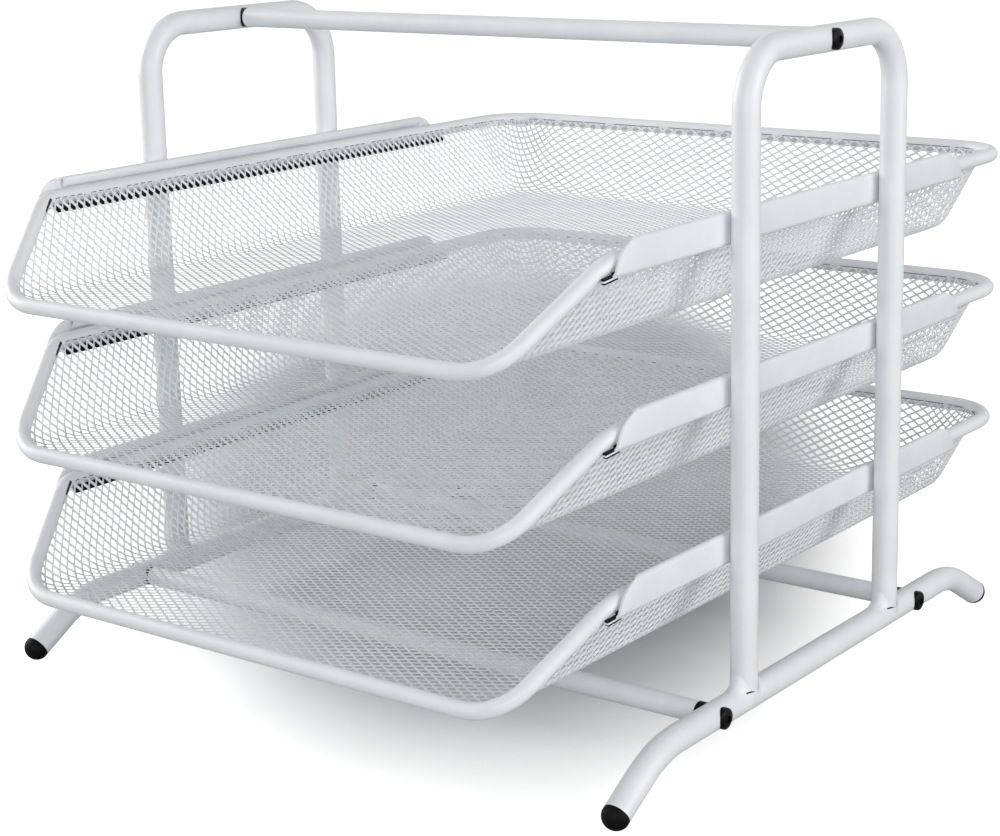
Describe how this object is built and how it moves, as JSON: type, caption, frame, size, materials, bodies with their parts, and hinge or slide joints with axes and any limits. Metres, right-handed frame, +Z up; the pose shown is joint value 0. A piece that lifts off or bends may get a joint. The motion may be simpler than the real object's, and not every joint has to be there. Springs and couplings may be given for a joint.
{
  "type": "letter tray",
  "caption": "Tiered desk letter tray: expanded-mesh paper trays with wire rims that slide forward in channel rails between bent-tube side frames with a handle bar",
  "frame": {"origin": "on the desk, under the middle of the overall box; the trays' rims are centred on it", "axes": "+X to the right, +Y to the back, +Z up; the trays slide out along -Y"},
  "size_m": [0.2966, 0.347, 0.2536],
  "materials": {
    "frame_coat": "satin",
    "mesh_coat": "satin",
    "screw_black": "satin",
    "black_plastic": "matte",
    "foot_rubber": "matte",
    "insert_steel": "bright zinc"
  },
  "bodies": {
    "frame": {"hoop_left": "frame_coat", "hoop_right": "frame_coat", "foot_bar_left": "frame_coat", "foot_bar_right": "frame_coat", "rail_bottom_left": "frame_coat", "rail_bottom_right": "frame_coat", "rail_middle_left": "frame_coat", "rail_middle_right": "frame_coat", "rail_top_left": "frame_coat", "rail_top_right": "frame_coat", "glide_bottom_left": "black_plastic", "glide_bottom_right": "black_plastic", "glide_middle_left": "black_plastic", "glide_middle_right": "black_plastic", "glide_top_left": "black_plastic", "glide_top_right": "black_plastic", "handle_bar": "frame_coat", "front_cross_bar": "frame_coat", "rear_cross_bar": "frame_coat", "handle_saddles": "black_plastic", "front_bar_saddles": "black_plastic", "rear_bar_saddles": "black_plastic", "bar_inserts": "insert_steel", "bar_screws": "screw_black", "foot_cap_front_left": "foot_rubber", "foot_cap_front_right": "foot_rubber", "foot_cap_rear_left": "foot_rubber", "foot_cap_rear_right": "foot_rubber"},
    "bottom_tray": {"bottom_tray_rim": "frame_coat", "bottom_tray_floor": "mesh_coat", "bottom_tray_left_wall": "mesh_coat", "bottom_tray_right_wall": "mesh_coat", "bottom_tray_rear_wall": "mesh_coat", "bottom_tray_corners": "mesh_coat"},
    "middle_tray": {"middle_tray_rim": "frame_coat", "middle_tray_floor": "mesh_coat", "middle_tray_left_wall": "mesh_coat", "middle_tray_right_wall": "mesh_coat", "middle_tray_rear_wall": "mesh_coat", "middle_tray_corners": "mesh_coat"},
    "top_tray": {"top_tray_rim": "frame_coat", "top_tray_floor": "mesh_coat", "top_tray_left_wall": "mesh_coat", "top_tray_right_wall": "mesh_coat", "top_tray_rear_wall": "mesh_coat", "top_tray_corners": "mesh_coat"}
  },
  "joints": [
    {"name": "bottom_tray_slide", "type": "slide", "parent": "frame", "child": "bottom_tray", "axis": [0, -1, 0], "range_m": [0, 0.2]},
    {"name": "middle_tray_slide", "type": "slide", "parent": "frame", "child": "middle_tray", "axis": [0, -1, 0], "range_m": [0, 0.2]},
    {"name": "top_tray_slide", "type": "slide", "parent": "frame", "child": "top_tray", "axis": [0, -1, 0], "range_m": [0, 0.2]}
  ]
}
